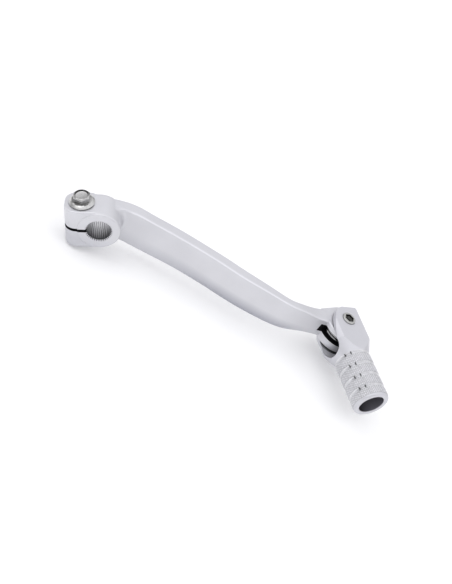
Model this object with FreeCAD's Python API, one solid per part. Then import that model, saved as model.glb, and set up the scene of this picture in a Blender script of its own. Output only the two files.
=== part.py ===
"""Gear shift lever of a motorcycle, with a folding toe piece that a torsion spring returns.

Row frame, millimetres: the origin is on the axis of the splined bore, halfway along the hub.
+X runs from the hub towards the toe piece, +Y runs inboard along the bore, and +Z is parallel
to the pivot of the toe piece.  The rider's side is -Y.

A clamp hub grips the splined shift shaft.  Its slot runs out through the pinch boss, and a
flange bolt draws the two lips together.  The forged blade bends outboard and ends in a slotted
knuckle.  The toe piece is a clevis that straddles the knuckle.  It turns on a bush, which the
pivot screw clamps between the clevis ears.
"""
import FreeCAD
import Part
import math
import os

Vector = FreeCAD.Vector
ORIGIN = Vector(0, 0, 0)
TOUCH = 0.01
X_AXIS = Vector(1, 0, 0)
Y_AXIS = Vector(0, 1, 0)
Z_AXIS = Vector(0, 0, 1)

# Clamp hub and its splined bore
HUB_RADIUS = 11.3
HUB_HALF_LENGTH = 8.7
HUB_OUTER_RIM = 0.9
HUB_INNER_RIM = 2.2
HUB_FILLET = 3.0
HUB_FILLET_FACE = 2.15
HUB_FILLET_START = 2.0
HUB_FILLET_TOP = 10.6
HUB_FILLET_BOTTOM = -9.2
FUSE_DEPTH = 1.6
FILLET_SINK = 0.05
SPLINE_TEETH = 36
SPLINE_TIP_RADIUS = 6.25
SPLINE_ROOT_RADIUS = 6.85
SPLINE_TIP_SHARE = 0.48
SPLINE_ROOT_SHARE = 0.22
MOUTH_RADIUS = 7.05

# Pinch boss: its axis leans back from +Z and stands off from the bore, across the slot
BOLT_LEAN_DEG = 25.4
BOLT_OFFSET = 8.8
BOSS_ROOT = 1.5
BOSS_REACH = 17.8
BOSS_RAMP_REACH = 2.5
BOSS_HALF_WIDTH = 8.2
BOSS_CORNER = 6.2
BOSS_ROOT_CORNER = 3.0
BOSS_TOP = 11.9
BOSS_BOTTOM = -12.2
BOSS_TOP_EDGE = 0.9
BOSS_BOTTOM_EDGE = 1.7
SLOT_WIDTH = 1.8
CLEARANCE_HOLE_RADIUS = 3.2

# Flange bolt M6
THREAD_RADIUS = 3.0
WAIST_RADIUS = 2.5
WAIST_TOP = 6.6
WAIST_BOTTOM = -6.6
BOLT_END = -12.1
FLANGE_RADIUS = 6.7
FLANGE_EDGE = 1.1
FLANGE_CONE_HEIGHT = 2.0
FLANGE_CONE_RADIUS = 5.2
HEAD_HEIGHT = 5.2
HEAD_ACROSS_FLATS = 8.2
HEAD_CHAMFER_RADIUS = 3.85
HEAD_CHAMFER_DEG = 30
THREAD_END_CHAMFER = 0.7

# Blade stations from hub to knuckle: centre X, centre Y, half thickness, half height, and the
# height over which the underside rounds
BLADE_STATIONS = [
    (1.0, 4.0, 3.3, 10.7, 2.5),
    (9.0, 5.7, 3.6, 10.7, 2.5),
    (15.0, 6.0, 3.7, 10.7, 2.5),
    (19.5, 5.5, 3.6, 10.7, 2.5),
    (25.5, 4.1, 3.5, 10.7, 2.6),
    (41.0, 0.8, 3.5, 10.7, 3.2),
    (55.0, -2.9, 3.4, 10.7, 4.0),
    (69.0, -7.2, 3.4, 10.7, 4.8),
    (83.0, -11.9, 3.3, 10.7, 5.0),
    (95.5, -15.2, 2.9, 10.5, 5.0),
    (107.0, -17.7, 2.6, 9.8, 4.6),
    (115.5, -17.6, 2.8, 9.1, 4.2),
    (122.5, -16.4, 3.4, 7.9, 3.8),
    (129.0, -14.9, 4.2, 6.9, 3.4),
    (138.0, -14.4, 4.2, 5.7, 3.0),
]
BLADE_TOP_EDGE = 1.1
UNDER_CURVE_STEPS = 6

# Pivot and knuckle
PIVOT = Vector(144.9, -14.3, 0)
KNUCKLE_RADIUS = 11.3
KNUCKLE_HALF_HEIGHT = 6.5
KNUCKLE_EDGE = 0.8
SHOULDER_CORNER = Vector(-14.7, 4.9, 0)
KNUCKLE_THROAT = Vector(-14.7, -1.0, 0)
KNUCKLE_ARC_END_DEG = 200
SPRING_SLOT_LOW = -1.7
SPRING_SLOT_HIGH = 3.6
SPRING_SLOT_RADIUS = 14.6
KNUCKLE_BORE_RADIUS = 4.05

# Toe piece, along its own axis from the pivot
TIP_SPLAY_DEG = 18.8
EAR_END = 8.5
EAR_ROUND_POINTS = [(-11.4, 11.0), (-9.9, 3.3), (-8.0, -2.3), (-5.0, -6.4), (-1.0, -8.5)]
EAR_CORNER_RADIUS = 1.2
CLEVIS_RADIUS = 13.4
CLEVIS_CONE_START = 12.0
BARREL_RADIUS = 9.85
BARREL_END = 49.5
BARREL_END_EDGE = 1.2
BARREL_EDGE_STEPS = 4
GROOVE_FIRST = 21.3
GROOVE_PITCH = 7.18
GROOVE_COUNT = 4
GROOVE_HALF_WIDTH = 0.85
GROOVE_DEPTH = 0.8
HOLLOW_RADIUS = 6.9
HOLLOW_MOUTH_RADIUS = 7.3
HOLLOW_DEPTH = 24.0
HOLLOW_DRILL_POINT = 2.5
EAR_FLAT_HEIGHT = 10.1
CLEVIS_GAP_HALF = 7.0
CLEVIS_GAP_ROOT_CENTRE = 11.0

# Pivot screw, bush and washers
SCREW_HEAD_RADIUS = 3.85
SCREW_HEAD_TOP = 10.95
SCREW_HEAD_SEAT = 8.4
SCREW_SEAT_CLEARANCE = 0.15
SCREW_SOCKET_FLATS = 5.0
SCREW_SOCKET_DEPTH = 2.0
SCREW_HEAD_EDGE = 0.35
SCREW_END = -10.1
SCREW_HOLE_RADIUS = 3.1
BUSH_RADIUS = 4.0
WASHER_INNER_RADIUS = 4.1
WASHER_OUTER_RADIUS = 6.9
WASHER_THICKNESS = 0.4

# Torsion spring and the spool that carries it
WIRE_RADIUS = 0.8
COIL_RADIUS = 8.6
COIL_LOW = -0.75
COIL_PITCH = 1.7
COIL_TURNS = 2
TANG_DEPTH = 3.2
TANG_HOLE_RADIUS = 0.8
LEG_END = 20.0
LEG_HOLE_RADIUS = 1.15
LEG_HOLE_END = 20.3
SPOOL_RADIUS = 6.9
SPOOL_BORE_RADIUS = 4.08
SPOOL_HEIGHT = 5.1

LEAN = math.radians(BOLT_LEAN_DEG)
BOLT_AXIS = Vector(-math.sin(LEAN), 0, math.cos(LEAN))
SLOT_AXIS = Vector(-math.cos(LEAN), 0, -math.sin(LEAN))
BOLT_CENTRE = SLOT_AXIS * BOLT_OFFSET


def cylinder(radius, low, high, centre=ORIGIN, axis=Z_AXIS):
    """A cylinder about an axis through centre, from low to high along that axis."""
    return Part.makeCylinder(radius, high - low, centre + axis * low, axis)


def rounded_cylinder(radius, low, high, low_edge, high_edge, centre=ORIGIN, axis=Z_AXIS):
    """A cylinder whose two rims are rounded, each with its own radius."""
    solid = cylinder(radius, low, high, centre, axis)
    middle = centre + axis * ((low + high) / 2)
    for edge_radius, side in ((low_edge, -1), (high_edge, 1)):
        rims = [edge for edge in solid.Edges
                if len(edge.Vertexes) == 1
                and (edge.Curve.Center - middle).dot(axis) * side > 0]
        solid = solid.makeFillet(edge_radius, rims)
    return solid


def hexagon_prism(across_flats, low, high, centre=ORIGIN, axis=Z_AXIS, across=X_AXIS):
    """A hexagonal prism; across is a direction perpendicular to axis that meets a corner."""
    corner_radius = across_flats / math.sqrt(3)
    other = axis.cross(across)
    corners = []
    for step in range(7):
        angle = math.radians(60 * step)
        offset = across * (corner_radius * math.cos(angle)) + other * (corner_radius * math.sin(angle))
        corners.append(centre + axis * low + offset)
    return Part.Face(Part.makePolygon(corners)).extrude(axis * (high - low))


def turned(points, axis_start, axis):
    """Turn a closed outline of points about an axis."""
    outline = Part.makePolygon(points + points[:1])
    return Part.Face(outline).revolve(axis_start, axis, 360)


def at_pivot(shape):
    """Move a shape from the toe piece's own frame, where it points along -Y, to its place."""
    shape.rotate(ORIGIN, Z_AXIS, TIP_SPLAY_DEG)
    shape.translate(PIVOT)
    return shape


def blade_section(centre, along, half_thickness, half_height, under_height):
    """One closed section of the blade: flat top, straight sides and a rounded underside."""
    across = Z_AXIS.cross(along)

    def place(side, height):
        return centre + across * side + Z_AXIS * height

    edge = BLADE_TOP_EDGE
    diagonal = edge * (1 - math.sqrt(0.5))
    under_start = under_height - half_height
    under_points = []
    for step in range(UNDER_CURVE_STEPS + 1):
        angle = math.pi * step / UNDER_CURVE_STEPS
        side = half_thickness * math.cos(angle)
        under_points.append(place(side, under_start - under_height * math.sin(angle)))
    under = Part.BSplineCurve()
    under.interpolate(Points=under_points, InitialTangent=-Z_AXIS, FinalTangent=Z_AXIS)
    edges = [
        Part.LineSegment(place(edge - half_thickness, half_height),
                         place(half_thickness - edge, half_height)),
        Part.Arc(place(half_thickness - edge, half_height),
                 place(half_thickness - diagonal, half_height - diagonal),
                 place(half_thickness, half_height - edge)),
        Part.LineSegment(place(half_thickness, half_height - edge), place(half_thickness, under_start)),
        under,
        Part.LineSegment(place(-half_thickness, under_start), place(-half_thickness, half_height - edge)),
        Part.Arc(place(-half_thickness, half_height - edge),
                 place(diagonal - half_thickness, half_height - diagonal),
                 place(edge - half_thickness, half_height)),
    ]
    return Part.Wire([curve.toShape() for curve in edges])


def make_blade():
    """Loft the blade through its stations, each section square to the centre line."""
    centres = [Vector(station[0], station[1], 0) for station in BLADE_STATIONS]
    centre_line = Part.BSplineCurve()
    centre_line.interpolate(centres)
    sections = []
    for centre, station in zip(centres, BLADE_STATIONS):
        along = centre_line.tangent(centre_line.parameter(centre))[0]
        sections.append(blade_section(centre, along, *station[2:]))
    return Part.makeLoft(sections, True, False)


def make_spline_cutter():
    """The serrated bore as a solid: arcs at the tooth tips and roots, joined by flanks."""
    pitch = 2 * math.pi / SPLINE_TEETH
    tip_half = pitch * SPLINE_TIP_SHARE / 2
    root_half = pitch * SPLINE_ROOT_SHARE / 2

    def on_circle(radius, angle):
        return Vector(radius * math.cos(angle), -HUB_HALF_LENGTH, radius * math.sin(angle))

    edges = []
    for tooth in range(SPLINE_TEETH):
        tip = tooth * pitch
        root = tip + pitch / 2
        next_tip = tip + pitch
        edges.append(Part.Arc(on_circle(SPLINE_TIP_RADIUS, tip - tip_half),
                              on_circle(SPLINE_TIP_RADIUS, tip),
                              on_circle(SPLINE_TIP_RADIUS, tip + tip_half)))
        edges.append(Part.LineSegment(on_circle(SPLINE_TIP_RADIUS, tip + tip_half),
                                      on_circle(SPLINE_ROOT_RADIUS, root - root_half)))
        edges.append(Part.Arc(on_circle(SPLINE_ROOT_RADIUS, root - root_half),
                              on_circle(SPLINE_ROOT_RADIUS, root),
                              on_circle(SPLINE_ROOT_RADIUS, root + root_half)))
        edges.append(Part.LineSegment(on_circle(SPLINE_ROOT_RADIUS, root + root_half),
                                      on_circle(SPLINE_TIP_RADIUS, next_tip - tip_half)))
    outline = Part.Wire([curve.toShape() for curve in edges])
    cutter = Part.Face(outline).extrude(Y_AXIS * (2 * HUB_HALF_LENGTH))
    chamfer_depth = MOUTH_RADIUS - SPLINE_TIP_RADIUS
    for side in (-1, 1):
        mouth = Part.makeCone(MOUTH_RADIUS, SPLINE_TIP_RADIUS, chamfer_depth,
                              Y_AXIS * (HUB_HALF_LENGTH * side), Y_AXIS * -side)
        cutter = cutter.fuse(mouth)
    return cutter


def make_boss():
    """Pinch boss: a block on the hub, its outer corners and the inboard one at the hub rounded."""
    def place(reach, side):
        return SLOT_AXIS * reach + Y_AXIS * side + BOLT_AXIS * BOSS_BOTTOM

    straight = BOSS_REACH - BOSS_CORNER
    flat = BOSS_HALF_WIDTH - BOSS_CORNER
    diagonal = BOSS_CORNER * math.sqrt(0.5)
    root_straight = BOSS_ROOT + BOSS_ROOT_CORNER
    root_flat = BOSS_HALF_WIDTH - BOSS_ROOT_CORNER
    root_diagonal = BOSS_ROOT_CORNER * math.sqrt(0.5)
    outline = [
        Part.LineSegment(place(BOSS_ROOT, -BOSS_HALF_WIDTH), place(straight, -BOSS_HALF_WIDTH)),
        Part.Arc(place(straight, -BOSS_HALF_WIDTH), place(straight + diagonal, -flat - diagonal),
                 place(BOSS_REACH, -flat)),
        Part.LineSegment(place(BOSS_REACH, -flat), place(BOSS_REACH, flat)),
        Part.Arc(place(BOSS_REACH, flat), place(straight + diagonal, flat + diagonal),
                 place(straight, BOSS_HALF_WIDTH)),
        Part.LineSegment(place(straight, BOSS_HALF_WIDTH), place(root_straight, BOSS_HALF_WIDTH)),
        Part.Arc(place(root_straight, BOSS_HALF_WIDTH),
                 place(root_straight - root_diagonal, root_flat + root_diagonal),
                 place(BOSS_ROOT, root_flat)),
        Part.LineSegment(place(BOSS_ROOT, root_flat), place(BOSS_ROOT, -BOSS_HALF_WIDTH)),
    ]
    block = Part.Face(Part.Wire([curve.toShape() for curve in outline]))
    block = block.extrude(BOLT_AXIS * (BOSS_TOP - BOSS_BOTTOM))
    for edge_radius, level in ((BOSS_BOTTOM_EDGE, BOSS_BOTTOM), (BOSS_TOP_EDGE, BOSS_TOP)):
        rim = [edge for edge in block.Edges
               if all(abs(vertex.Point.dot(BOLT_AXIS) - level) < TOUCH for vertex in edge.Vertexes)]
        block = block.makeFillet(edge_radius, rim)
    return block


def make_knuckle():
    """Eye of the pivot: a disc, with a shoulder on its inboard side where the blade arrives."""
    reach = SHOULDER_CORNER.Length
    turn = math.atan2(SHOULDER_CORNER.y, SHOULDER_CORNER.x) - math.acos(KNUCKLE_RADIUS / reach)
    tangent_point = Vector(math.cos(turn), math.sin(turn), 0) * KNUCKLE_RADIUS
    low = PIVOT - Z_AXIS * KNUCKLE_HALF_HEIGHT
    arc_end = math.radians(KNUCKLE_ARC_END_DEG)
    lower_point = Vector(math.cos(arc_end), math.sin(arc_end), 0) * KNUCKLE_RADIUS
    outline = [
        Part.Arc(low + tangent_point, low + X_AXIS * KNUCKLE_RADIUS, low + lower_point),
        Part.LineSegment(low + lower_point, low + KNUCKLE_THROAT),
        Part.LineSegment(low + KNUCKLE_THROAT, low + SHOULDER_CORNER),
        Part.LineSegment(low + SHOULDER_CORNER, low + tangent_point),
    ]
    eye = Part.Face(Part.Wire([curve.toShape() for curve in outline]))
    eye = eye.extrude(Z_AXIS * (2 * KNUCKLE_HALF_HEIGHT))
    rims = [edge for edge in eye.Edges
            if abs(edge.Vertexes[0].Z - edge.Vertexes[1].Z) < TOUCH]
    return eye.makeFillet(KNUCKLE_EDGE, rims)


def make_hub_fillet():
    """Hollow fillet between the round of the hub and the outboard face of the blade."""
    inner = HUB_RADIUS - FUSE_DEPTH
    arc_start = HUB_RADIUS - FILLET_SINK
    outer = arc_start + HUB_FILLET
    face = HUB_FILLET_FACE + FILLET_SINK
    deep = face + FUSE_DEPTH
    low = face - HUB_FILLET
    bulge = HUB_FILLET * math.sqrt(0.5)
    outline = [
        Part.LineSegment(Vector(inner, low, 0), Vector(arc_start, low, 0)),
        Part.Arc(Vector(arc_start, low, 0), Vector(outer - bulge, low + bulge, 0), Vector(outer, face, 0)),
        Part.LineSegment(Vector(outer, face, 0), Vector(outer, deep, 0)),
        Part.LineSegment(Vector(outer, deep, 0), Vector(inner, deep, 0)),
        Part.LineSegment(Vector(inner, deep, 0), Vector(inner, low, 0)),
    ]
    ring = Part.Face(Part.Wire([curve.toShape() for curve in outline])).revolve(ORIGIN, Y_AXIS, 360)
    bounds = Part.makeBox(outer, 2 * HUB_HALF_LENGTH, HUB_FILLET_TOP - HUB_FILLET_BOTTOM,
                          Vector(HUB_FILLET_START, -HUB_HALF_LENGTH, HUB_FILLET_BOTTOM))
    fillet = ring.common(bounds)
    for level in (HUB_FILLET_TOP, HUB_FILLET_BOTTOM):
        rim = [edge for edge in fillet.Edges
               if abs(edge.BoundBox.ZMin - level) < TOUCH and abs(edge.BoundBox.ZMax - level) < TOUCH
               and edge.BoundBox.YMax < face + TOUCH and edge.BoundBox.XLength > HUB_FILLET / 2]
        fillet = fillet.makeFillet(BLADE_TOP_EDGE, rim)
    return fillet


def make_boss_ramp():
    """Slope that carries the top of the boss down onto the round of the hub."""
    from_hub = math.hypot(BOSS_RAMP_REACH, BOSS_TOP)
    lean = math.atan2(BOSS_RAMP_REACH, BOSS_TOP) - math.acos(HUB_RADIUS / from_hub)
    landing = HUB_RADIUS * math.sin(lean)
    outline = [(BOSS_RAMP_REACH, BOSS_TOP), (landing, HUB_RADIUS * math.cos(lean)),
               (landing, SPLINE_ROOT_RADIUS), (BOSS_RAMP_REACH, SPLINE_ROOT_RADIUS)]
    corners = [SLOT_AXIS * reach + BOLT_AXIS * height - Y_AXIS * BOSS_HALF_WIDTH
               for reach, height in outline]
    ramp = Part.Face(Part.makePolygon(corners + corners[:1])).extrude(Y_AXIS * (2 * BOSS_HALF_WIDTH))
    for edge_radius, side in ((BOSS_TOP_EDGE, -1), (HUB_INNER_RIM, 1)):
        rim = [edge for edge in ramp.Edges
               if abs(edge.CenterOfMass.y - side * BOSS_HALF_WIDTH) < TOUCH
               and edge.CenterOfMass.dot(BOLT_AXIS) > HUB_RADIUS]
        ramp = ramp.makeFillet(edge_radius, rim)
    return ramp


def make_lever_arm():
    """Hub, pinch boss, blade and knuckle in one forging, then everything machined out of it."""
    hub = rounded_cylinder(HUB_RADIUS, -HUB_HALF_LENGTH, HUB_HALF_LENGTH,
                           HUB_OUTER_RIM, HUB_INNER_RIM, ORIGIN, Y_AXIS)
    arm = hub.fuse([make_boss(), make_boss_ramp(), make_blade(), make_hub_fillet(), make_knuckle()])

    lip_slot = Part.makeBox(2 * BOSS_REACH, 4 * HUB_HALF_LENGTH, SLOT_WIDTH,
                            Vector(0, -2 * HUB_HALF_LENGTH, -SLOT_WIDTH / 2))
    lip_slot.rotate(ORIGIN, Y_AXIS, 180 - BOLT_LEAN_DEG)
    spring_slot = cylinder(SPRING_SLOT_RADIUS, SPRING_SLOT_LOW, SPRING_SLOT_HIGH, PIVOT)
    tang_centre = PIVOT + coil_point(0) - Z_AXIS * coil_point(0).z
    cutters = [
        make_spline_cutter(),
        cylinder(MOUTH_RADIUS, HUB_HALF_LENGTH, 2 * HUB_HALF_LENGTH, ORIGIN, Y_AXIS),
        lip_slot,
        cylinder(CLEARANCE_HOLE_RADIUS, 0, 2 * BOSS_TOP, BOLT_CENTRE, BOLT_AXIS),
        cylinder(THREAD_RADIUS, 2 * BOSS_BOTTOM, 0, BOLT_CENTRE, BOLT_AXIS),
        spring_slot,
        cylinder(KNUCKLE_BORE_RADIUS, -HUB_RADIUS, HUB_RADIUS, PIVOT),
        cylinder(TANG_HOLE_RADIUS, SPRING_SLOT_LOW - TANG_DEPTH, SPRING_SLOT_LOW, tang_centre),
    ]
    for cutter in cutters:
        arm = arm.cut(cutter)
    return arm.removeSplitter()


def tip_outline():
    """Half outline of the solid toe piece: ears' end, cone, grooved barrel and rounded end."""
    points = [
        Vector(0, EAR_END, 0),
        Vector(CLEVIS_RADIUS, EAR_END, 0),
        Vector(CLEVIS_RADIUS, -CLEVIS_CONE_START, 0),
    ]
    for groove in range(GROOVE_COUNT):
        middle = GROOVE_FIRST + groove * GROOVE_PITCH
        points.append(Vector(BARREL_RADIUS, GROOVE_HALF_WIDTH - middle, 0))
        points.append(Vector(BARREL_RADIUS - GROOVE_DEPTH, -middle, 0))
        points.append(Vector(BARREL_RADIUS, -GROOVE_HALF_WIDTH - middle, 0))
    for step in range(BARREL_EDGE_STEPS + 1):
        angle = math.pi / 2 * step / BARREL_EDGE_STEPS
        points.append(Vector(BARREL_RADIUS - BARREL_END_EDGE * (1 - math.cos(angle)),
                             BARREL_END_EDGE * (1 - math.sin(angle)) - BARREL_END, 0))
    points.append(Vector(0, -BARREL_END, 0))
    return points


def make_ear_outline():
    """Plan of the ears: a large round towards the blade and a nearly square far corner."""
    side = 2 * CLEVIS_RADIUS
    low = -BARREL_END - 1
    round_points = [Vector(across, -along, -side) for across, along in EAR_ROUND_POINTS]
    start = round_points[0]
    end = round_points[-1]
    ear_round = Part.BSplineCurve()
    ear_round.interpolate(round_points)
    half_flat = math.sqrt(CLEVIS_RADIUS ** 2 - EAR_FLAT_HEIGHT ** 2)
    corner = Vector(half_flat, EAR_END, -side)
    diagonal = EAR_CORNER_RADIUS * (1 - math.sqrt(0.5))
    before_corner = corner - X_AXIS * EAR_CORNER_RADIUS
    after_corner = corner + Vector(side - half_flat, -EAR_CORNER_RADIUS - side + half_flat, 0)
    outline = [
        ear_round,
        Part.LineSegment(end, before_corner),
        Part.Arc(before_corner, corner - Vector(diagonal, diagonal, 0),
                 corner - Y_AXIS * EAR_CORNER_RADIUS),
        Part.LineSegment(corner - Y_AXIS * EAR_CORNER_RADIUS, after_corner),
        Part.LineSegment(after_corner, Vector(side, low, -side)),
        Part.LineSegment(Vector(side, low, -side), Vector(-side, low, -side)),
        Part.LineSegment(Vector(-side, low, -side), Vector(-side, start.y, -side)),
        Part.LineSegment(Vector(-side, start.y, -side), start),
    ]
    return Part.Face(Part.Wire([curve.toShape() for curve in outline])).extrude(Z_AXIS * (2 * side))


def make_toe_tip():
    """Turned toe piece with a hollow barrel, milled flats and a gap for the knuckle."""
    tip = turned(tip_outline(), ORIGIN, Y_AXIS).common(make_ear_outline())
    flats = Part.makeBox(4 * CLEVIS_RADIUS, 2 * BARREL_END, 2 * EAR_FLAT_HEIGHT,
                         Vector(-2 * CLEVIS_RADIUS, EAR_END - 2 * BARREL_END, -EAR_FLAT_HEIGHT))
    tip = tip.common(flats)
    hollow_floor = HOLLOW_DEPTH - BARREL_END
    mouth_depth = HOLLOW_MOUTH_RADIUS - HOLLOW_RADIUS
    hollow = turned([
        Vector(0, -BARREL_END, 0),
        Vector(HOLLOW_MOUTH_RADIUS, -BARREL_END, 0),
        Vector(HOLLOW_RADIUS, mouth_depth - BARREL_END, 0),
        Vector(HOLLOW_RADIUS, hollow_floor, 0),
        Vector(0, hollow_floor + HOLLOW_DRILL_POINT, 0),
    ], ORIGIN, Y_AXIS)
    gap = Part.makeBox(4 * CLEVIS_RADIUS, EAR_END + CLEVIS_GAP_ROOT_CENTRE, 2 * CLEVIS_GAP_HALF,
                       Vector(-2 * CLEVIS_RADIUS, -CLEVIS_GAP_ROOT_CENTRE, -CLEVIS_GAP_HALF))
    gap_root = cylinder(CLEVIS_GAP_HALF, -2 * CLEVIS_RADIUS, 2 * CLEVIS_RADIUS,
                        Y_AXIS * -CLEVIS_GAP_ROOT_CENTRE, X_AXIS)
    leg_centre = Vector(COIL_RADIUS, 0, COIL_LOW + COIL_TURNS * COIL_PITCH)
    cutters = [
        hollow,
        gap.fuse(gap_root),
        cylinder(THREAD_RADIUS, -2 * EAR_FLAT_HEIGHT, 0),
        cylinder(SCREW_HOLE_RADIUS, 0, 2 * EAR_FLAT_HEIGHT),
        cylinder(SCREW_HEAD_RADIUS + SCREW_SEAT_CLEARANCE, SCREW_HEAD_SEAT, 2 * EAR_FLAT_HEIGHT),
        cylinder(LEG_HOLE_RADIUS, 0, LEG_HOLE_END, leg_centre, -Y_AXIS),
    ]
    for cutter in cutters:
        tip = tip.cut(cutter)
    return at_pivot(tip.removeSplitter())


def make_pinch_bolt():
    """Flange bolt through the pinch boss, waisted where it passes beside the shaft."""
    flange_cone_top = BOSS_TOP + FLANGE_CONE_HEIGHT
    head_top = BOSS_TOP + HEAD_HEIGHT
    head_corner = HEAD_ACROSS_FLATS / math.sqrt(3)
    profile = [
        (0, BOLT_END), (THREAD_RADIUS - THREAD_END_CHAMFER, BOLT_END),
        (THREAD_RADIUS, BOLT_END + THREAD_END_CHAMFER), (THREAD_RADIUS, WAIST_BOTTOM - THREAD_END_CHAMFER),
        (WAIST_RADIUS, WAIST_BOTTOM), (WAIST_RADIUS, WAIST_TOP), (THREAD_RADIUS, WAIST_TOP),
        (THREAD_RADIUS, BOSS_TOP), (FLANGE_RADIUS, BOSS_TOP), (FLANGE_RADIUS, BOSS_TOP + FLANGE_EDGE),
        (FLANGE_CONE_RADIUS, flange_cone_top), (0, flange_cone_top),
    ]
    across = Y_AXIS
    points = [BOLT_CENTRE + across * radius + BOLT_AXIS * height for radius, height in profile]
    shank = turned(points, BOLT_CENTRE, BOLT_AXIS)
    head = hexagon_prism(HEAD_ACROSS_FLATS, BOSS_TOP + FLANGE_EDGE, head_top,
                         BOLT_CENTRE, BOLT_AXIS, across)
    chamfer_fall = (head_corner - HEAD_CHAMFER_RADIUS) * math.tan(math.radians(HEAD_CHAMFER_DEG))
    crown = Part.makeCone(head_corner, HEAD_CHAMFER_RADIUS, chamfer_fall,
                          BOLT_CENTRE + BOLT_AXIS * (head_top - chamfer_fall), BOLT_AXIS)
    below_crown = cylinder(head_corner, 0, head_top - chamfer_fall, BOLT_CENTRE, BOLT_AXIS)
    return shank.fuse(head.common(crown.fuse(below_crown))).removeSplitter()


def make_pivot_screw():
    """Pivot screw: low round head with a hexagon socket, and a plain shank to its thread."""
    head = rounded_cylinder(SCREW_HEAD_RADIUS, SCREW_HEAD_SEAT, SCREW_HEAD_TOP,
                            SCREW_HEAD_EDGE / 2, SCREW_HEAD_EDGE)
    socket = hexagon_prism(SCREW_SOCKET_FLATS, SCREW_HEAD_TOP - SCREW_SOCKET_DEPTH, SCREW_HEAD_TOP)
    shank = cylinder(THREAD_RADIUS, SCREW_END, SCREW_HEAD_SEAT)
    return at_pivot(head.cut(socket).fuse(shank).removeSplitter())


def make_pivot_bush():
    """Bush that the screw clamps between the ears; the knuckle turns on it."""
    bush = cylinder(BUSH_RADIUS, -CLEVIS_GAP_HALF, CLEVIS_GAP_HALF)
    return at_pivot(bush.cut(cylinder(SCREW_HOLE_RADIUS, -CLEVIS_GAP_HALF, CLEVIS_GAP_HALF)))


def make_thrust_washer(side):
    """Thin washer against one ear, between it and the knuckle; side is 1 above and -1 below."""
    low, high = sorted((side * CLEVIS_GAP_HALF, side * (CLEVIS_GAP_HALF - WASHER_THICKNESS)))
    washer = cylinder(WASHER_OUTER_RADIUS, low, high)
    return at_pivot(washer.cut(cylinder(WASHER_INNER_RADIUS, low, high)))


def make_spring_spool():
    """Spool inside the coil, standing on the lower lug of the knuckle."""
    high = SPRING_SLOT_LOW + SPOOL_HEIGHT
    spool = cylinder(SPOOL_RADIUS, SPRING_SLOT_LOW, high)
    return at_pivot(spool.cut(cylinder(SPOOL_BORE_RADIUS, SPRING_SLOT_LOW, high)))


def coil_point(turn):
    """Centre of the spring wire after some turns, from the pivot in the row's directions."""
    angle = math.radians(TIP_SPLAY_DEG) - 2 * math.pi * turn
    return Vector(COIL_RADIUS * math.cos(angle), COIL_RADIUS * math.sin(angle),
                  COIL_LOW + COIL_PITCH * turn)


def make_return_spring():
    """Torsion spring: a tang down into the lower lug, the coil, and a leg out to the toe piece."""
    coil_height = COIL_TURNS * COIL_PITCH
    helix = Part.makeHelix(COIL_PITCH, coil_height, COIL_RADIUS, 0, True)
    helix.translate(Z_AXIS * COIL_LOW)
    slope = math.atan2(COIL_PITCH, 2 * math.pi * COIL_RADIUS)
    start = Vector(COIL_RADIUS, 0, COIL_LOW)
    start_direction = Vector(0, -math.cos(slope), math.sin(slope))
    end = Vector(COIL_RADIUS, 0, COIL_LOW + coil_height)
    section = Part.Wire(Part.makeCircle(WIRE_RADIUS, start, start_direction))
    coil = Part.Wire(helix.Edges).makePipeShell([section], True, True)
    tang_low = SPRING_SLOT_LOW - TANG_DEPTH
    tang = cylinder(WIRE_RADIUS, tang_low, COIL_LOW, Vector(COIL_RADIUS, 0, 0))
    leg = cylinder(WIRE_RADIUS, 0, LEG_END, end, -Y_AXIS)
    elbow = Part.makeSphere(WIRE_RADIUS, start)
    knee = Part.makeSphere(WIRE_RADIUS, end)
    return at_pivot(coil.fuse([tang, leg, elbow, knee]).removeSplitter())


SUB_PARTS = {
    "lever_arm": make_lever_arm,
    "toe_tip": make_toe_tip,
    "pinch_bolt": make_pinch_bolt,
    "pivot_screw": make_pivot_screw,
    "pivot_bush": make_pivot_bush,
    "upper_thrust_washer": lambda: make_thrust_washer(1),
    "lower_thrust_washer": lambda: make_thrust_washer(-1),
    "spring_spool": make_spring_spool,
    "tip_return_spring": make_return_spring,
}

os.makedirs("parts", exist_ok=True)
for name, make in SUB_PARTS.items():
    shape = make()
    solids = shape.Solids
    print(name, "solids", len(solids), "valid", shape.isValid(), "volume", round(shape.Volume, 1))
    solids[0].exportStep(f"parts/{name}.step")
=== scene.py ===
"""Looks of a motorcycle gear shift lever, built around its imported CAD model.

The CAD bodies stay where they are.  This script adds the knurled bands and the machined grooves of
the toe piece, and detailed versions of the pinch bolt and the return spring.  It gives every piece a
procedural material, and sets the floor, the lights and the camera.  The sizes named below are in
millimetres; Blender itself works in metres.
"""
import bpy
import math
from mathutils import Matrix, Vector


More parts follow.
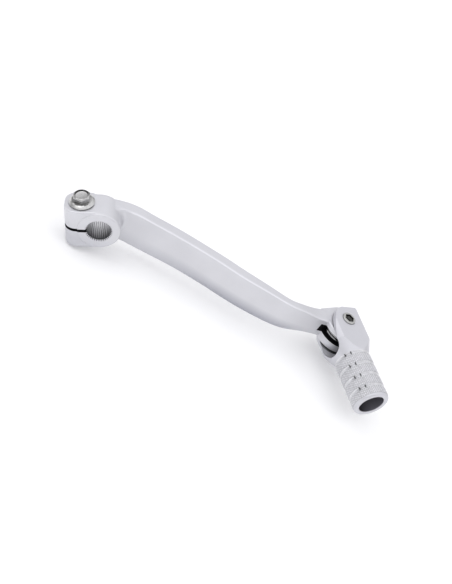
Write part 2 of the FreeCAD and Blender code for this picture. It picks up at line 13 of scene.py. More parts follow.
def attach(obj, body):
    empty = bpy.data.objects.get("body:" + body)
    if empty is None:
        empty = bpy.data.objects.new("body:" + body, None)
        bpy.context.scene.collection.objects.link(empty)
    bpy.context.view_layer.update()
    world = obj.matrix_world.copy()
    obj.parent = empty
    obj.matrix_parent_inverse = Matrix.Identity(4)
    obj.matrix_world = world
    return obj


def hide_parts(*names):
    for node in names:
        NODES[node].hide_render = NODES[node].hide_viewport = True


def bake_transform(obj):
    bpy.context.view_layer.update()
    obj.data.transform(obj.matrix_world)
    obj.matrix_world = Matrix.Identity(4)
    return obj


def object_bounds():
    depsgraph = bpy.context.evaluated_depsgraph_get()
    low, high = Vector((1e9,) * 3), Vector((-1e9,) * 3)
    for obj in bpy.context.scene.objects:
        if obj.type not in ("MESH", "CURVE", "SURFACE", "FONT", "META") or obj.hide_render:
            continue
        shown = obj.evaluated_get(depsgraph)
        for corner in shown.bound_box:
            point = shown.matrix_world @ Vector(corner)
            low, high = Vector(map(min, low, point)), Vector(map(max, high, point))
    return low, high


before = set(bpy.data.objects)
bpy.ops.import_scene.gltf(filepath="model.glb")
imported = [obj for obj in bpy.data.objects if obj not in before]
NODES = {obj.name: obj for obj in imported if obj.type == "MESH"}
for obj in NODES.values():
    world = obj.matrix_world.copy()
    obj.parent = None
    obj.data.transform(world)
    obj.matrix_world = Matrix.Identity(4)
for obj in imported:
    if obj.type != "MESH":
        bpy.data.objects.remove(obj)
cad_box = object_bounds()
MM = 0.001

# Places and sizes shared with the CAD model
PIVOT = Vector((144.9, -14.3, 0.0))
TIP_SPLAY = math.radians(18.8)
BOLT_LEAN = math.radians(25.4)
BOLT_OFFSET = 8.8
BOSS_TOP = 11.9
BOLT_HEAD_TOP = BOSS_TOP + 5.2
BARREL_RADIUS = 9.85
GROOVE_FIRST = 21.3
GROOVE_PITCH = 7.18
GROOVE_COUNT = 4
GROOVE_HALF_WIDTH = 0.85
GROOVE_DEPTH = 0.8
# Angles of the painted dark reflections in the grooves
GROOVE_REFLECTION_DEG = (131.0, 151.5)

SLOT_AXIS = Vector((-math.cos(BOLT_LEAN), 0, -math.sin(BOLT_LEAN)))
BOLT_AXIS = Vector((-math.sin(BOLT_LEAN), 0, math.cos(BOLT_LEAN)))
TIP_AXIS = Vector((math.sin(TIP_SPLAY), -math.cos(TIP_SPLAY), 0))
TIP_SIDE = Vector((math.cos(TIP_SPLAY), math.sin(TIP_SPLAY), 0))
TIP_FRAME = Matrix.Translation(PIVOT) @ Matrix.Rotation(TIP_SPLAY, 4, "Z")
BOLT_FRAME = Matrix.Translation(SLOT_AXIS * BOLT_OFFSET) @ Matrix.Rotation(-BOLT_LEAN, 4, "Y")
# Turns a lathe piece's own +Z into the toe piece's axis, which is -Y of its frame
BARREL_FRAME = TIP_FRAME @ Matrix.Rotation(math.radians(90), 4, "X")


# ---------------------------------------------------------------- meshes

def mesh_object(name, points, faces, material, sharp_deg=32.0):
    """A mesh object from points in millimetres in the row frame."""
    mesh = bpy.data.meshes.new(name)
    mesh.from_pydata([point * MM for point in points], [], faces)
    mesh.validate()
    mesh.shade_smooth()
    mesh.set_sharp_from_angle(angle=math.radians(sharp_deg))
    mesh.materials.append(material)
    piece = bpy.data.objects.new(name, mesh)
    bpy.context.scene.collection.objects.link(piece)
    return piece


def lathe(name, rows, columns, place, material, caps=(False, False), sharp_deg=32.0):
    """A grid closed round an axis.  place is a matrix and a function: the function gives the radius
    and height of a row at an angle on the piece's own axis, and the matrix puts that in place."""
    matrix, radius_height = place
    points = []
    for row in range(rows):
        for column in range(columns):
            angle = 2 * math.pi * column / columns
            radius, height = radius_height(row, angle)
            points.append(matrix @ Vector((radius * math.cos(angle), radius * math.sin(angle), height)))
    faces = []
    for row in range(rows - 1):
        for column in range(columns):
            after = (column + 1) % columns
            faces.append((row * columns + column, row * columns + after,
                          (row + 1) * columns + after, (row + 1) * columns + column))
    if caps[0]:
        faces.append(tuple(reversed(range(columns))))
    if caps[1]:
        faces.append(tuple((rows - 1) * columns + column for column in range(columns)))
    return mesh_object(name, points, faces, material, sharp_deg)


def sweep(name, path, radius, material, sides=14):
    """A round wire along a path of points, with closed ends."""
    points = []
    normal = None
    for index, point in enumerate(path):
        before = path[max(index - 1, 0)]
        after = path[min(index + 1, len(path) - 1)]
        along = (after - before).normalized()
        if normal is None:
            normal = along.orthogonal().normalized()
        normal = (normal - along * normal.dot(along)).normalized()
        other = along.cross(normal)
        for side in range(sides):
            angle = 2 * math.pi * side / sides
            points.append(point + (normal * math.cos(angle) + other * math.sin(angle)) * radius)
    faces = []
    for ring in range(len(path) - 1):
        for side in range(sides):
            after = (side + 1) % sides
            faces.append((ring * sides + side, ring * sides + after,
                          (ring + 1) * sides + after, (ring + 1) * sides + side))
    faces.append(tuple(reversed(range(sides))))
    faces.append(tuple((len(path) - 1) * sides + side for side in range(sides)))
    return mesh_object(name, points, faces, material, sharp_deg=60.0)


def triangle_wave(value):
    """0 at whole numbers and 1 halfway between them."""
    part = value - math.floor(value)
    return 1 - abs(2 * part - 1)


def hexagon_radius(across_flats, angle):
    """Distance from the axis to a hexagon's side in a direction; angle 0 meets a corner."""
    within = (angle + math.pi / 6) % (math.pi / 3) - math.pi / 6
    return across_flats / 2 / math.cos(math.pi / 6 - abs(within))


# ---------------------------------------------------------------- materials

class Graph:
    """Short names for the shader nodes that the materials below share."""

    def __init__(self, name, **settings):
        self.material = bpy.data.materials.new(name)
        self.material.use_nodes = True
        self.tree = self.material.node_tree
        self.shader = self.tree.nodes["Principled BSDF"]
        for socket, value in settings.items():
            self.shader.inputs[socket.replace("_", " ")].default_value = value
        self.place = self.node("ShaderNodeTexCoord").outputs["Object"]
        self.axes = self.node("ShaderNodeSeparateXYZ", Vector=self.place).outputs

    def node(self, kind, settings=None, **inputs):
        made = self.tree.nodes.new(kind)
        for key, value in (settings or {}).items():
            setattr(made, key, value)
        for key, value in inputs.items():
            self.feed(made.inputs[key.replace("_", " ")], value)
        return made

    def feed(self, socket, value):
        if isinstance(value, bpy.types.NodeSocket):
            self.tree.links.new(value, socket)
        else:
            socket.default_value = value

    def math(self, operation, first, second=0.0, third=0.0):
        made = self.tree.nodes.new("ShaderNodeMath")
        made.operation = operation
        for socket, value in zip(made.inputs, (first, second, third)):
            self.feed(socket, value)
        return made.outputs[0]

    def both(self, first, *others):
        """1 where every mask is 1."""
        for other in others:
            first = self.math("MULTIPLY", first, other)
        return first

    def below(self, value, limit):
        """1 where a distance is less than a limit in millimetres."""
        return self.math("LESS_THAN", value, limit * MM)

    def above(self, value, limit):
        """1 where a distance is more than a limit in millimetres."""
        return self.math("GREATER_THAN", value, limit * MM)

    def between(self, value, low, high):
        return self.both(self.above(value, low), self.below(value, high))

    def along(self, direction, origin=(0, 0, 0)):
        """Distance along a direction from an origin, both given in millimetres."""
        start = self.node("ShaderNodeVectorMath", {"operation": "SUBTRACT"})
        self.feed(start.inputs[0], self.place)
        start.inputs[1].default_value = Vector(origin) * MM
        made = self.node("ShaderNodeVectorMath", {"operation": "DOT_PRODUCT"})
        self.feed(made.inputs[0], start.outputs[0])
        made.inputs[1].default_value = Vector(direction)
        return made.outputs["Value"]

    def radial(self, first, second):
        """Distance from an axis, from the distances along two directions square to it."""
        return self.math("SQRT", self.math("ADD", self.math("MULTIPLY", first, first),
                                           self.math("MULTIPLY", second, second)))

    def noise(self, size_mm, detail=2.0, roughness=0.5):
        return self.node("ShaderNodeTexNoise", Vector=self.place, Scale=1000 / size_mm,
                         Detail=detail, Roughness=roughness).outputs["Fac"]

    def ramp(self, value, low, high, to_low, to_high):
        return self.node("ShaderNodeMapRange", Value=value, From_Min=low, From_Max=high,
                         To_Min=to_low, To_Max=to_high).outputs["Result"]

    def fade(self, value, low, high, to_low, to_high):
        """A ramp over a distance, with its ends in millimetres."""
        return self.ramp(value, low * MM, high * MM, to_low, to_high)

    def mix(self, share, first, second):
        made = self.node("ShaderNodeMix", {"data_type": "RGBA"})
        self.feed(made.inputs["Factor"], share)
        self.feed(made.inputs[6], first)
        self.feed(made.inputs[7], second)
        return made.outputs[2]

    def colour(self, value):
        self.feed(self.shader.inputs["Base Color"], value)

    def roughness(self, value):
        self.feed(self.shader.inputs["Roughness"], value)

    def bump(self, height, strength, depth_mm):
        made = self.node("ShaderNodeBump", Height=height, Strength=strength, Distance=depth_mm * MM)
        self.feed(self.shader.inputs["Normal"], made.outputs["Normal"])


def colour(red, green, blue):
    return (red, green, blue, 1.0)


def scaled(base, *shares):
    """A base colour times one share, or times a share for each of red, green and blue."""
    return colour(*[value * share for value, share in zip(base, shares * 3 if len(shares) == 1 else shares)])


BLACK = colour(0.012, 0.012, 0.014)
# Bluish share of the base colour for the painted shade on the blade's lower flank
FLANK_SHADE_SHARES = (0.42, 0.43, 0.49)


def silver(name, base, dark_mask, grain_mm, grain_depth, pits=None, flank=None, crease=None):
    """Satin silver: fine grain, faint cloudy tone, and painted shade and light in the insides where dark_mask
    is 1.

    pits, flank and crease are masks of painted shade, and flank brings the painted highlight on the top edges
    too."""
    graph = Graph(name, Metallic=0.45, IOR=1.5)
    clouds = graph.noise(14, 3)
    tone = graph.mix(graph.ramp(clouds, 0.35, 0.65, 0, 1), scaled(base, 1.01), scaled(base, 0.98))
    grain = graph.noise(grain_mm, 3, 0.6)
    tone = graph.mix(graph.ramp(grain, 0.62, 0.8, 0, 0.35), tone, scaled(base, 0.72))
    # Painted shade in the knurl's valleys, then random speckle
    if pits:
        tone = graph.mix(pits(graph), tone, scaled(base, 0.45))
        speckle = graph.ramp(graph.noise(1.1, 2, 0.7), 0.42, 0.62, 0, 0.55)
        tone = graph.mix(speckle, tone, scaled(base, 0.5))
    # Painted shade in the crease beside the hub
    if crease:
        tone = graph.mix(crease(graph), tone, scaled(base, 0.5))
    # Painted shade on the lower flank, and a painted highlight on the top edges
    if flank:
        tone = graph.mix(flank(graph), tone, scaled(base, *FLANK_SHADE_SHARES))
        tone = graph.mix(ridge_highlight(graph), tone, scaled(base, 1.38))
    dark, dark_tone = dark_mask(graph)
    graph.colour(graph.mix(dark, tone, dark_tone))
    graph.roughness(graph.ramp(clouds, 0.3, 0.7, 0.36, 0.46))
    graph.bump(grain, 0.35, grain_depth)
    return graph.material


# The masks below paint shade, dark reflections and some light into the colour: no shape stands behind them.
# They are fixed on the object.  Several are graded towards one side, chosen for the front view, so from
# elsewhere they can look uneven.
# Their limits are in millimetres.
BORE_RADIUS = 6.87
BORE_CHAMFER_SETBACK = 1.62
CLAMP_SLOT_HALF = 0.92
SPRING_SLOT_LOW = -1.72
SPRING_SLOT_HIGH = 3.62
SPRING_SLOT_RADIUS = 14.63
KNUCKLE_UNDERSIDE = -6.4
KNUCKLE_RADIUS = 12.0
EAR_GAP_HALF = 7.02
EAR_GAP_ROOT = 11.0
EAR_GAP_ROOT_RADIUS = 7.03
EAR_GAP_LOW = -4.5
HOLLOW_RADIUS = 6.97
HOLLOW_START = 22.5
LOWER_SLIT_LOW = -7.2
LOWER_SLIT_HIGH = -6.6
LOWER_SLIT_RADIUS = 12.2
SOCKET_RADIUS = 2.92
SOCKET_LOW = 8.0
SOCKET_HIGH = 10.8


def arm_painted_shade(graph):
    """Painted shade on the arm's insides, the bore, the clamp slot and the spring slot, and under the knuckle.
    """
    x, y, z = graph.axes["X"], graph.axes["Y"], graph.axes["Z"]
    from_bore = graph.radial(x, z)
    past_chamfer = graph.math("SUBTRACT", from_bore, graph.math("ABSOLUTE", y))
    bore = graph.both(graph.below(from_bore, BORE_RADIUS), graph.above(past_chamfer, -BORE_CHAMFER_SETBACK))
    slot = graph.both(graph.between(graph.along(BOLT_AXIS), -CLAMP_SLOT_HALF, CLAMP_SLOT_HALF),
                      graph.above(graph.along(SLOT_AXIS), 0))
    from_pivot = graph.radial(graph.along((1, 0, 0), PIVOT), graph.along((0, 1, 0), PIVOT))
    spring_slot = graph.both(graph.between(z, SPRING_SLOT_LOW, SPRING_SLOT_HIGH),
                             graph.below(from_pivot, SPRING_SLOT_RADIUS))
    # Painted shade in the bore, near black at its front end and paling to near white at its back end as
    # painted light; darker still at the tooth roots
    bore_shade_and_light = graph.mix(graph.fade(y, -8.5, 3, 0, 1), colour(0.04, 0.04, 0.045), colour(0.98, 0.98, 1.0))
    bore_shade_and_light = graph.mix(graph.fade(from_bore, 6.3, 6.7, 0, 0.3), bore_shade_and_light, BLACK)
    tone = graph.mix(bore, BLACK, bore_shade_and_light)
    # Painted shade under the knuckle, weaker towards the hub
    underside = graph.both(graph.below(z, KNUCKLE_UNDERSIDE), graph.below(from_pivot, KNUCKLE_RADIUS),
                           graph.fade(graph.along((1, 0, 0), PIVOT), -12, -2, 0.4, 1))
    inside = graph.math("MAXIMUM", spring_slot, underside)
    return graph.math("MAXIMUM", graph.math("MAXIMUM", bore, slot), inside), tone


def tip_painted_shade(graph):
    """Painted shade on the toe piece's insides: the gap for the knuckle, the hollow of the barrel and the slit
    under the knuckle.
    """
    z = graph.axes["Z"]
    reach = graph.along(TIP_AXIS, PIVOT)
    across = graph.along(TIP_SIDE, PIVOT)
    gap_straight = graph.both(graph.between(z, -EAR_GAP_HALF, EAR_GAP_HALF), graph.below(reach, EAR_GAP_ROOT))
    from_root = graph.radial(graph.math("SUBTRACT", reach, EAR_GAP_ROOT * MM), z)
    gap = graph.math("MAXIMUM", gap_straight, graph.below(from_root, EAR_GAP_ROOT_RADIUS))
    gap = graph.both(gap, graph.above(z, EAR_GAP_LOW))
    hollow = graph.both(graph.below(graph.radial(across, z), HOLLOW_RADIUS),
                        graph.above(reach, HOLLOW_START))
    # Painted light in the hollow: paler grey towards one side and towards its bottom
    hollow_painted_light = graph.both(hollow, graph.fade(across, -3, 7, 0, 1), graph.fade(z, -5, 6, 1, 0.35))
    # Painted shade in the slit between the knuckle and the lower ear, weaker towards one side
    lower_slit_shade = graph.both(graph.between(z, LOWER_SLIT_LOW, LOWER_SLIT_HIGH),
                            graph.below(graph.radial(across, reach), LOWER_SLIT_RADIUS),
                            graph.fade(across, -12, -2, 0.4, 1))
    dark = graph.math("MAXIMUM", graph.math("MAXIMUM", gap, hollow), lower_slit_shade)
    return dark, graph.mix(hollow_painted_light, BLACK, colour(0.30, 0.29, 0.34))


def blade_flank_shade(graph):
    """Painted shade on the lower flank of the blade, strongest halfway along it."""
    x, z = graph.axes["X"], graph.axes["Z"]
    along = graph.both(graph.fade(x, 20, 75, 0.25, 1), graph.fade(x, 112, 134, 1, 0))
    return graph.both(graph.fade(z, -10.5, -1.5, 0.95, 0), along)


def hub_crease_shade(graph):
    """Painted shade in the hollow beside the hub, where its round runs back to the blade."""
    x, y, z = graph.axes["X"], graph.axes["Y"], graph.axes["Z"]
    from_bore = graph.radial(x, z)
    band = graph.both(graph.fade(from_bore, 10.6, 11.1, 0, 1), graph.fade(from_bore, 11.4, 12.6, 1, 0))
    return graph.both(band, graph.fade(y, 2, 3, 1, 0), graph.fade(x, 3, 8, 0, 0.55),
                      graph.fade(z, 1, 6, 1, 0.15))


def ridge_highlight(graph):
    """A painted highlight on the rounded edges between the top faces and the front faces."""
    facing = graph.node("ShaderNodeTexCoord").outputs["Normal"]
    normal = graph.node("ShaderNodeSeparateXYZ", Vector=facing).outputs
    up, front = normal["Z"], graph.math("MULTIPLY", normal["Y"], -1.0)
    rounded = graph.both(graph.ramp(up, 0.25, 0.5, 0, 1), graph.ramp(up, 0.75, 0.93, 1, 0))
    on_blade = graph.both(graph.fade(graph.axes["X"], 11, 14, 0.1, 1),
                          graph.fade(graph.axes["X"], 105, 125, 1, 0.3))
    return graph.both(rounded, on_blade, graph.ramp(front, 0.3, 0.5, 0, 0.55))


def knurl_valley_shade(graph):
    """Painted shade: 1 in the valleys of the knurl, falling to 0 on its crests."""
    height = graph.radial(graph.along(TIP_SIDE, PIVOT), graph.axes["Z"])
    return graph.fade(height, BARREL_RADIUS + 0.03, BARREL_RADIUS + 0.2, 1, 0)


def groove_dark_reflections(graph):
    """Two small painted dark reflections in every groove, in line along the barrel."""
    turn = graph.math("ARCTAN2", graph.axes["Z"], graph.along(TIP_SIDE, PIVOT))
    reflections = []
    for degrees in GROOVE_REFLECTION_DEG:
        off = graph.math("ABSOLUTE", graph.math("SUBTRACT", turn, math.radians(degrees)))
        reflections.append(graph.ramp(off, math.radians(1.0), math.radians(3.0), 0.9, 0))
    return graph.math("MAXIMUM", *reflections)


def socket_painted_shade(graph):
    """Painted shade in the pivot screw's socket: black at its mouth and paler towards its floor."""
    from_pivot = graph.radial(graph.along((1, 0, 0), PIVOT), graph.along((0, 1, 0), PIVOT))
    inside = graph.both(graph.below(from_pivot, SOCKET_RADIUS),
                        graph.between(graph.axes["Z"], SOCKET_LOW, SOCKET_HIGH))
    return graph.both(inside, graph.fade(graph.axes["Z"], 9.4, 10.1, 0.4, 1))


def bolt_painted_shade(graph):
    """Painted shade and dark reflections on the bolt: under the flange, on the six flats, stronger towards one
    side, and on the rim round the top, stronger towards its back.
    """
    height = graph.along(BOLT_AXIS)
    from_axis = graph.radial(graph.along(SLOT_AXIS, SLOT_AXIS * BOLT_OFFSET), graph.axes["Y"])
    under = graph.below(height, BOSS_TOP + 0.55)
    flats = graph.both(graph.between(height, BOSS_TOP + 1.8, BOLT_HEAD_TOP - 1.0),
                       graph.above(from_axis, 4.0),
                       graph.fade(graph.along((1, 0, 0), SLOT_AXIS * BOLT_OFFSET), -7, -1, 1, 0.4))
    rim = graph.both(graph.above(height, BOLT_HEAD_TOP - 0.7), graph.above(from_axis, 3.1),
                     graph.fade(graph.axes["Y"], -1.5, 2.5, 0.15, 1))
    return graph.math("MAXIMUM", graph.math("MAXIMUM", under, graph.math("MULTIPLY", flats, 0.55)),
                      graph.math("MULTIPLY", rim, 0.9))


def steel(name, base, rough, dark_mask=None):
    """Plated or bare steel with faint streaks, and the painted shade and dark reflections of its dark mask,
    where one is given.
    """
    graph = Graph(name, Metallic=1.0)
    streaks = graph.noise(1.2, 4, 0.6)
    tone = graph.mix(graph.ramp(streaks, 0.35, 0.7, 0, 1), colour(*base), scaled(base, 0.8))
    if dark_mask:
        tone = graph.mix(dark_mask(graph), tone, colour(0.01, 0.01, 0.01))
    graph.colour(tone)
    graph.roughness(graph.ramp(streaks, 0.3, 0.7, rough * 0.85, rough * 1.2))
    graph.bump(graph.noise(0.35, 2), 0.15, 0.02)
    return graph.material


def moulded(name, base, rough):
    """Black plastic with a fine grain."""
    graph = Graph(name, IOR=1.48)
    grain = graph.noise(0.5, 3)
    graph.colour(graph.mix(graph.ramp(grain, 0.4, 0.6, 0, 1), colour(*base), scaled(base, 1.5)))
    graph.roughness(graph.ramp(grain, 0.3, 0.7, rough - 0.08, rough + 0.08))
    graph.bump(grain, 0.3, 0.03)
    return graph.material


ARM_SILVER = silver("arm_silver", (0.66, 0.66, 0.69), arm_painted_shade, 0.30, 0.02,
                    flank=blade_flank_shade, crease=hub_crease_shade)
TIP_SILVER = silver("tip_silver", (0.62, 0.62, 0.655), tip_painted_shade, 0.26, 0.03)
KNURL_SILVER = silver("knurl_silver", (0.87, 0.87, 0.905), tip_painted_shade, 0.30, 0.03, knurl_valley_shade)
GROOVE_BRIGHT = steel("groove_bright", (0.78, 0.78, 0.80), 0.32, groove_dark_reflections)
ZINC = steel("zinc", (0.60, 0.598, 0.59), 0.22, bolt_painted_shade)
SCREW = steel("screw", (0.56, 0.56, 0.545), 0.24, socket_painted_shade)
BUSH = steel("bush", (0.45, 0.45, 0.46), 0.25)
BRONZE = steel("bronze", (0.60, 0.50, 0.30), 0.35)
SPRING = steel("spring", (0.35, 0.35, 0.355), 0.18)
SPOOL = moulded("spool", (0.012, 0.012, 0.013), 0.45)

for node, material in (("lever_arm", ARM_SILVER), ("toe_tip", TIP_SILVER), ("pivot_bush", BUSH),
                       ("upper_thrust_washer", BRONZE), ("lower_thrust_washer", BRONZE),
                       ("spring_spool", SPOOL), ("pinch_bolt", ZINC), ("pivot_screw", SCREW),
                       ("tip_return_spring", SPRING)):
    for slot in NODES[node].material_slots:
        slot.material = material


# ---------------------------------------------------------------- knurled barrel

KNURL_AROUND = 46
KNURL_PITCH = 1.32
KNURL_HEIGHT = 0.30
KNURL_CELLS = 6
KNURL_FLAT_CREST = 0.8
KNURL_PROUD = 0.012
LINING_PROUD = 0.014
GROOVE_LAND = 0.1
BAND_RUN_IN = 0.35
BAND_TUCK = 0.12
LAST_BAND_END = 48.1


def knurl_band(number, start, end):
    """A sleeve of diamond knurling on the barrel, from start to end along its axis."""
    steps = int((end - start) / (KNURL_PITCH / KNURL_CELLS))

    def radius_height(row, angle):
        if row in (0, steps + 2):
            return BARREL_RADIUS - BAND_TUCK, start if row == 0 else end
        reach = start + (end - start) * (row - 1) / steps
        around = KNURL_AROUND * angle / (2 * math.pi)
        crest = min(triangle_wave(around + reach / KNURL_PITCH),
                    triangle_wave(around - reach / KNURL_PITCH))
        run_in = min(1.0, min(reach - start, end - reach) / BAND_RUN_IN)
        return BARREL_RADIUS + KNURL_PROUD + KNURL_HEIGHT * min(crest, KNURL_FLAT_CREST) * run_in, reach

    band = lathe(f"knurl_band_{number}", steps + 3, KNURL_AROUND * KNURL_CELLS,
                 (BARREL_FRAME, radius_height), KNURL_SILVER, sharp_deg=14)
    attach(band, "tip")


def groove_lining(number, centre):
    """The bright machined V between two bands, a hair proud of the CAD surface."""
    profile = [(-1.1, -0.04), (-1.0, 0.016), (-0.84, 0.0), (-0.06, -0.95), (0.06, -0.95), (0.84, 0.0),
               (1.0, 0.016), (1.1, -0.04)]

    def radius_height(row, angle):
        reach, depth = profile[row]
        return BARREL_RADIUS + LINING_PROUD + depth * GROOVE_DEPTH, centre + reach * GROOVE_HALF_WIDTH

    lining = lathe(f"groove_lining_{number}", len(profile), 160, (BARREL_FRAME, radius_height),
                   GROOVE_BRIGHT)
    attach(lining, "tip")


grooves = [GROOVE_FIRST + number * GROOVE_PITCH for number in range(GROOVE_COUNT)]
band_ends = [centre - GROOVE_HALF_WIDTH - GROOVE_LAND for centre in grooves[1:]] + [LAST_BAND_END]
for number, (centre, band_end) in enumerate(zip(grooves, band_ends), 1):
    groove_lining(number, centre)
    knurl_band(number, centre + GROOVE_HALF_WIDTH + GROOVE_LAND, band_end)


# ---------------------------------------------------------------- pinch bolt

def threaded(radius, pitch, depth, height, angle):
    """Radius of a right-hand thread at a height and angle."""
    return radius - depth * (1 - triangle_wave(height / pitch - angle / (2 * math.pi)))


BOLT_FLATS = 8.2
BOLT_CROWN_RADIUS = 3.85
BOLT_CROWN_SLOPE = 1.15
BOLT_DISH_RADIUS = 3.5
BOLT_DISH_DEPTH = 0.75
BOLT_COLUMNS = 144
BOLT_SHANK_RADIUS = 2.96
BOLT_WAIST_RADIUS = 2.5
THREAD_PITCH = 1.0
THREAD_DEPTH = 0.45
THREAD_START = -11.5
THREAD_ROWS = 33
THREAD_ROW_STEP = 0.125
HEAD_ROWS = 14
HEAD_ROWS_START = BOSS_TOP + 2.1
HEAD_RISE = 3.0


def bolt_rows():
    """Rows of the bolt from its threaded end to the dish in its head: height, radius and kind."""
    rows = [(-12.1, 0.4, "round"), (-12.1, 2.2, "round"), (-11.6, 2.7, "round")]
    for step in range(THREAD_ROWS):
        rows.append((THREAD_START + THREAD_ROW_STEP * step, BOLT_SHANK_RADIUS, "thread"))
    rows += [(-7.2, BOLT_SHANK_RADIUS, "round"), (-6.6, BOLT_WAIST_RADIUS, "round"),
             (6.6, BOLT_WAIST_RADIUS, "round"), (6.7, BOLT_SHANK_RADIUS, "round"),
             (BOSS_TOP, BOLT_SHANK_RADIUS, "round"), (BOSS_TOP, 6.2, "round"), (BOSS_TOP + 0.34, 6.3, "round"),
             (BOSS_TOP + 0.4, 6.62, "round"), (BOSS_TOP + 0.6, 6.7, "round"),
             (BOSS_TOP + 0.85, 6.66, "round"), (BOSS_TOP + 1.1, 6.35, "round"),
             (BOSS_TOP + 1.45, 5.85, "hexagon or more"), (BOSS_TOP + 1.75, 5.4, "hexagon or more"),
             (BOSS_TOP + 1.95, 0.0, "hexagon or more")]
    for step in range(HEAD_ROWS):
        height = HEAD_ROWS_START + step * (HEAD_RISE / (HEAD_ROWS - 1))
        fall = BOLT_HEAD_TOP - height
        rows.append((height, BOLT_CROWN_RADIUS + fall * BOLT_CROWN_SLOPE, "hexagon or less"))
    rows += [(BOLT_HEAD_TOP, BOLT_CROWN_RADIUS - 0.1, "round"), (BOLT_HEAD_TOP, BOLT_DISH_RADIUS, "round"),
             (BOLT_HEAD_TOP - BOLT_DISH_DEPTH * 0.8, BOLT_DISH_RADIUS - 0.28, "round"),
             (BOLT_HEAD_TOP - BOLT_DISH_DEPTH, BOLT_DISH_RADIUS - 0.7, "round"),
             (BOLT_HEAD_TOP - BOLT_DISH_DEPTH, 0.3, "round")]
    return rows


def make_bolt():
    """The pinch bolt, with a threaded end, a waist, a flange and a dished hexagon head."""
    rows = bolt_rows()

    def radius_height(row, angle):
        height, radius, kind = rows[row]
        side = hexagon_radius(BOLT_FLATS, angle + math.pi / 6)
        if kind == "thread":
            radius = threaded(radius, THREAD_PITCH, THREAD_DEPTH, height, angle)
        elif kind == "hexagon or more":
            radius = max(radius, side)
        elif kind == "hexagon or less":
            radius = min(radius, side)
        return radius, height

    bolt = lathe("flange_bolt", len(rows), BOLT_COLUMNS, (BOLT_FRAME, radius_height), ZINC,
                 (True, True), 24)
    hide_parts("pinch_bolt")
    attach(bolt, "arm")


make_bolt()


# ---------------------------------------------------------------- return spring

COIL_RADIUS = 8.6
COIL_LOW = -0.75
COIL_PITCH = 1.7
COIL_TURNS = 2
WIRE_RADIUS = 0.78
TANG_LOW = -4.8
LEG_END = 19.9
BEND = 1.3
TANG_STEPS = 4
BEND_STEPS = 8
COIL_STEPS = 72
LEG_STEPS = 10


def spring_path():
    """Tang up from the lower lug, the coil, and the leg out along the toe piece."""
    def coil(turn):
        angle = -2 * math.pi * turn
        return Vector((COIL_RADIUS * math.cos(angle), COIL_RADIUS * math.sin(angle),
                       COIL_LOW + COIL_PITCH * turn))

    corner = coil(0)
    bend_turn = BEND / (2 * math.pi * COIL_RADIUS)
    tang_rise = COIL_LOW - BEND - TANG_LOW
    path = [Vector((COIL_RADIUS, 0, TANG_LOW + step * tang_rise / TANG_STEPS))
            for step in range(TANG_STEPS + 1)]
    for step in range(1, BEND_STEPS):
        share = step / BEND_STEPS
        path.append(path[TANG_STEPS] * (1 - share) ** 2 + corner * (2 * share * (1 - share))
                    + coil(bend_turn) * share ** 2)
    coil_steps = COIL_STEPS * COIL_TURNS
    for step in range(coil_steps + 1):
        path.append(coil(bend_turn + (COIL_TURNS - bend_turn) * step / coil_steps))
    end = path[-1]
    path += [end + Vector((0, -LEG_END * step / LEG_STEPS, 0)) for step in range(1, LEG_STEPS + 1)]
    return [TIP_FRAME @ point for point in path]


spring = sweep("torsion_spring", spring_path(), WIRE_RADIUS, SPRING)
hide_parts("tip_return_spring")
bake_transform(spring)


# ---------------------------------------------------------------- floor, light and camera

# Places here are in metres
FLOOR_HALF = 3.0
FLOOR_DROP = 0.0002
CAMERA_PLACE = Vector((-0.13568, -0.44228, 0.37333))
CAMERA_AHEAD = Vector((0.34768, 0.70409, -0.61917))
CAMERA_UP = Vector((-0.33016, 0.71001, 0.62200))
CAMERA_LENS = 70.46
LIGHT_TARGET = Vector((0.07, 0, 0))
# Each light's name, place, size and power
LIGHTS = (("left", (-0.65, 0.05, 0.75), 0.9, 1.55),
          ("right", (1.00, -0.35, 0.45), 0.8, 0.6),
          ("front", (-0.10, -0.95, 0.40), 0.8, 0.36),
          ("key", (0.38, -0.60, 0.72), 0.7, 0.2))


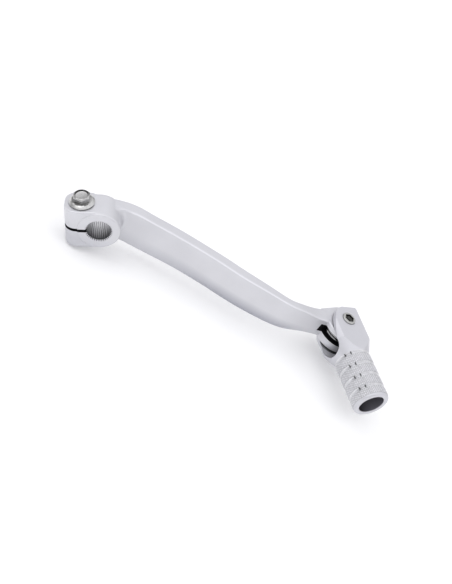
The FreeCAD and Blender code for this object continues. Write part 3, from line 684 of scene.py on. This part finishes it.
def make_floor(height):
    """A plain pale sheet under the lever."""
    graph = Graph("floor_pale", Roughness=0.9, Specular_IOR_Level=0.0, Emission_Strength=0.09,
                  Emission_Color=colour(1, 1, 1))
    graph.colour(graph.mix(graph.noise(60, 2), colour(0.93, 0.93, 0.93), colour(0.95, 0.95, 0.95)))
    mesh = bpy.data.meshes.new("floor")
    corners = [(-1, -1), (1, -1), (1, 1), (-1, 1)]
    mesh.from_pydata([(x * FLOOR_HALF, y * FLOOR_HALF, height) for x, y in corners], [], [(0, 1, 2, 3)])
    mesh.materials.append(graph.material)
    floor = bpy.data.objects.new("floor", mesh)
    bpy.context.scene.collection.objects.link(floor)


def area_light(name, place, size, power):
    """A white round light that faces the middle of the lever."""
    data = bpy.data.lights.new(name, "AREA")
    data.shape = "DISK"
    data.size = size
    data.energy = power
    light = bpy.data.objects.new(name, data)
    light.location = place
    light.rotation_euler = (LIGHT_TARGET - Vector(place)).to_track_quat("-Z", "Y").to_euler()
    bpy.context.scene.collection.objects.link(light)


def make_camera():
    """The camera looks down on the rider's side of the lever, rolled so that the arm hangs."""
    ahead = CAMERA_AHEAD.normalized()
    right = ahead.cross(CAMERA_UP).normalized()
    up = right.cross(ahead)
    turn = Matrix((right, up, -ahead)).transposed().to_4x4()
    data = bpy.data.cameras.new("camera")
    data.lens = CAMERA_LENS
    data.sensor_width = 36.0
    data.clip_start = 0.01
    camera = bpy.data.objects.new("camera", data)
    camera.matrix_world = Matrix.Translation(CAMERA_PLACE) @ turn
    bpy.context.scene.collection.objects.link(camera)
    bpy.context.scene.camera = camera


def make_world():
    """Soft studio surround: white at the horizon, a dimmer band above it and a pale ceiling."""
    world = bpy.data.worlds.new("studio")
    world.use_nodes = True
    tree = world.node_tree
    background = tree.nodes["Background"]
    place = tree.nodes.new("ShaderNodeTexCoord")
    axes = tree.nodes.new("ShaderNodeSeparateXYZ")
    ramp = tree.nodes.new("ShaderNodeValToRGB")
    tree.links.new(place.outputs["Generated"], axes.inputs["Vector"])
    tree.links.new(axes.outputs["Z"], ramp.inputs["Fac"])
    tree.links.new(ramp.outputs["Color"], background.inputs["Color"])
    stops = ramp.color_ramp.elements
    stops[0].position = 0.02
    stops[0].color = colour(0.95, 0.95, 0.96)
    stops[1].position = 0.85
    stops[1].color = colour(1.19, 1.19, 1.22)
    stops.new(0.14).color = colour(0.41, 0.41, 0.42)
    background.inputs["Strength"].default_value = 1.0
    bpy.context.scene.world = world


make_floor(cad_box[0][2] - FLOOR_DROP)
make_world()
for light in LIGHTS:
    area_light(*light)
make_camera()
bpy.context.scene.view_settings.view_transform = "Standard"

bpy.context.view_layer.update()
